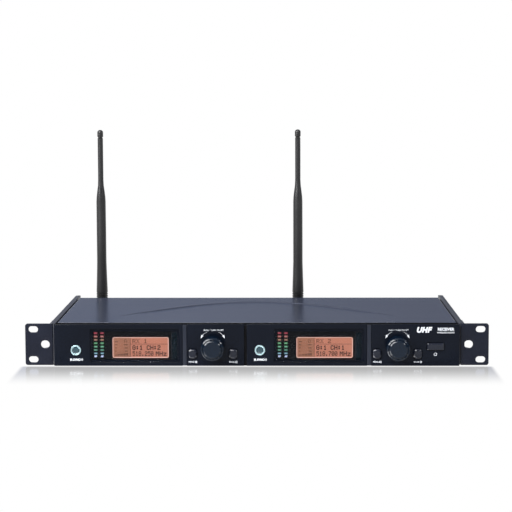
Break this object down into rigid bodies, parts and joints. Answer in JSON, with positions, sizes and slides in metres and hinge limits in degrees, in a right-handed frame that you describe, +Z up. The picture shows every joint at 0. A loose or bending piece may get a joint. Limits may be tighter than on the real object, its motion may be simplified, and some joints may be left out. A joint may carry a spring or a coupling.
{
  "type": "wireless microphone receiver",
  "caption": "Rack-mount dual-channel wireless receiver with amber displays, push-turn knobs, keys, rack ears and tilting rear antennas.",
  "frame": {"origin": "middle of the whole object's box, on the plane of the underside", "axes": "+X to the right seen from the front, +Y to the back, +Z up"},
  "size_m": [0.4826, 0.2186, 0.2385],
  "materials": {
    "cover_paint": "glossy blue-grey enamel",
    "rail_paint": "satin blue-black",
    "ear_paint": "fine-textured satin black",
    "chassis_steel": "satin dark grey",
    "panel_paint": "satin blue-black",
    "trim_silver": "brushed, blue-grey",
    "smoked_window": "polished smoked acrylic",
    "lcd_amber": "backlit salmon amber",
    "lcd_bezel": "satin",
    "meter_lens": "black block with coloured lenses",
    "sync_chrome": "polished",
    "sync_emitter": "dark teal, polished",
    "knob_plastic": "satin black",
    "key_plastic": "matte black",
    "plated_metal": "nickel plated",
    "black_housing": "moulded black",
    "circuit_board": "green solder mask",
    "shield_tin": "tinned",
    "heatsink_aluminium": "black anodised",
    "antenna_rubber": "matte black",
    "screw_black": "black zinc"
  },
  "bodies": {
    "unit": {"bottom_chassis": "chassis_steel", "rear_panel": "chassis_steel", "top_cover": "cover_paint", "side_rail_left": "rail_paint", "side_rail_right": "rail_paint", "rack_ear_left": "ear_paint", "rack_ear_right": "ear_paint", "front_panel": "panel_paint", "power_switch": "black_housing", "main_board": "circuit_board", "regulator_heatsink": "heatsink_aluminium", "dc_inlet": "black_housing", "ear_screw_left_1": "screw_black", "ear_screw_left_2": "screw_black", "ear_screw_right_1": "screw_black", "ear_screw_right_2": "screw_black", "display_window_1": "smoked_window", "lcd_frame_1": "lcd_bezel", "lcd_screen_1": "lcd_amber", "level_meter_1": "meter_lens", "sync_ring_1": "sync_chrome", "sync_emitter_1": "sync_emitter", "divider_strip_1": "trim_silver", "encoder_body_1": "plated_metal", "control_board_1": "circuit_board", "tuner_shield_1": "shield_tin", "xlr_output_1": "plated_metal", "output_jack_1": "black_housing", "display_window_2": "smoked_window", "lcd_frame_2": "lcd_bezel", "lcd_screen_2": "lcd_amber", "level_meter_2": "meter_lens", "sync_ring_2": "sync_chrome", "sync_emitter_2": "sync_emitter", "divider_strip_2": "trim_silver", "encoder_body_2": "plated_metal", "control_board_2": "circuit_board", "tuner_shield_2": "shield_tin", "xlr_output_2": "plated_metal", "output_jack_2": "black_housing", "antenna_jack_a": "plated_metal", "antenna_jack_b": "plated_metal"},
    "knob_1_plunger": {"encoder_plunger_1": "black_housing"},
    "knob_1_turned": {"encoder_shaft_1": "plated_metal", "knob_1": "knob_plastic"},
    "setup_1": {"setup_button_1": "key_plastic"},
    "exit_1": {"exit_button_1": "key_plastic"},
    "knob_2_plunger": {"encoder_plunger_2": "black_housing"},
    "knob_2_turned": {"encoder_shaft_2": "plated_metal", "knob_2": "knob_plastic"},
    "setup_2": {"setup_button_2": "key_plastic"},
    "exit_2": {"exit_button_2": "key_plastic"},
    "power": {"power_button": "key_plastic"},
    "antenna_a_swivel": {"antenna_plug_a": "black_housing", "antenna_pin_a": "plated_metal"},
    "antenna_a_mast": {"antenna_mast_a": "antenna_rubber"},
    "antenna_b_swivel": {"antenna_plug_b": "black_housing", "antenna_pin_b": "plated_metal"},
    "antenna_b_mast": {"antenna_mast_b": "antenna_rubber"}
  },
  "joints": [
    {"name": "knob_1_push", "type": "slide", "parent": "unit", "child": "knob_1_plunger", "axis": [0, 1, 0], "range_m": [0, 0.0012], "stiffness_N_per_m": 1500, "springref_m": -0.0008},
    {"name": "knob_1_turn", "type": "hinge", "parent": "knob_1_plunger", "child": "knob_1_turned", "pos_m": [-0.0452, -0.0903, 0.0199], "axis": [0, 1, 0], "continuous": true},
    {"name": "setup_1_press", "type": "slide", "parent": "unit", "child": "setup_1", "axis": [0, 1, 0], "range_m": [0, 0.0009], "stiffness_N_per_m": 1500, "springref_m": -0.0006},
    {"name": "exit_1_press", "type": "slide", "parent": "unit", "child": "exit_1", "axis": [0, 1, 0], "range_m": [0, 0.0009], "stiffness_N_per_m": 1500, "springref_m": -0.0006},
    {"name": "knob_2_push", "type": "slide", "parent": "unit", "child": "knob_2_plunger", "axis": [0, 1, 0], "range_m": [0, 0.0012], "stiffness_N_per_m": 1500, "springref_m": -0.0008},
    {"name": "knob_2_turn", "type": "hinge", "parent": "knob_2_plunger", "child": "knob_2_turned", "pos_m": [0.1464, -0.0903, 0.0199], "axis": [0, 1, 0], "continuous": true},
    {"name": "setup_2_press", "type": "slide", "parent": "unit", "child": "setup_2", "axis": [0, 1, 0], "range_m": [0, 0.0009], "stiffness_N_per_m": 1500, "springref_m": -0.0006},
    {"name": "exit_2_press", "type": "slide", "parent": "unit", "child": "exit_2", "axis": [0, 1, 0], "range_m": [0, 0.0009], "stiffness_N_per_m": 1500, "springref_m": -0.0006},
    {"name": "power_press", "type": "slide", "parent": "unit", "child": "power", "axis": [0, 1, 0], "range_m": [0, 0.0012], "stiffness_N_per_m": 1500, "springref_m": -0.0006},
    {"name": "antenna_a_swivel", "type": "hinge", "parent": "unit", "child": "antenna_a_swivel", "pos_m": [-0.186, 0.1027, 0.022], "axis": [0, 1, 0], "range_deg": [-90, 90]},
    {"name": "antenna_a_tilt", "type": "hinge", "parent": "antenna_a_swivel", "child": "antenna_a_mast", "pos_m": [-0.186, 0.1027, 0.022], "axis": [-1, 0, 0], "range_deg": [0, 90]},
    {"name": "antenna_b_swivel", "type": "hinge", "parent": "unit", "child": "antenna_b_swivel", "pos_m": [0.046, 0.1027, 0.022], "axis": [0, 1, 0], "range_deg": [-90, 90]},
    {"name": "antenna_b_tilt", "type": "hinge", "parent": "antenna_b_swivel", "child": "antenna_b_mast", "pos_m": [0.046, 0.1027, 0.022], "axis": [-1, 0, 0], "range_deg": [0, 90]}
  ]
}
